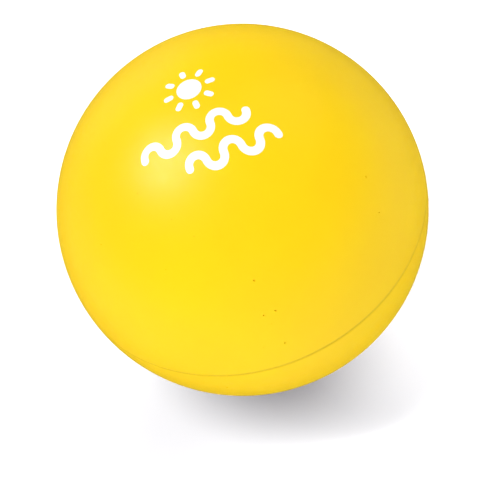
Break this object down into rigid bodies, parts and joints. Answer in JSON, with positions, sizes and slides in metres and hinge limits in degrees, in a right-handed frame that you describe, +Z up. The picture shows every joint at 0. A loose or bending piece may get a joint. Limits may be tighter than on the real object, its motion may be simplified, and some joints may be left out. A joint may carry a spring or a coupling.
{
  "type": "stress ball",
  "caption": "Soft foam squeeze ball with a thin moulded skin, a fine parting line round its middle and a small printed mark on top.",
  "frame": {"origin": "centre of the small flattened patch under the lower pole, which the ball rests on", "axes": "+Z up along the mould axis through both poles, so that the parting line lies level at mid-height; the printed mark is on top and reads upright from the -Y side, with +X to the reader's right"},
  "size_m": [0.06, 0.06, 0.0601],
  "materials": {
    "skin": "satin",
    "foam": "matte open-cell foam",
    "flash": "matte, trimmed",
    "ink": "satin screen ink"
  },
  "bodies": {
    "lower_half": {"lower_skin": "skin", "foam_core": "foam", "parting_flash": "flash"},
    "upper_half": {"upper_skin": "skin", "ink_sun_disc": "ink", "ink_sun_ray_1": "ink", "ink_sun_ray_2": "ink", "ink_sun_ray_3": "ink", "ink_sun_ray_4": "ink", "ink_sun_ray_5": "ink", "ink_sun_ray_6": "ink", "ink_sun_ray_7": "ink", "ink_sun_ray_8": "ink", "ink_wave_upper": "ink", "ink_wave_lower": "ink"}
  },
  "joints": [
    {"name": "squeeze", "type": "slide", "parent": "lower_half", "child": "upper_half", "axis": [0, 0, -1], "range_m": [0, 0.024], "stiffness_N_per_m": 1250, "deforming": ["lower_skin", "foam_core", "parting_flash", "upper_skin"]}
  ]
}
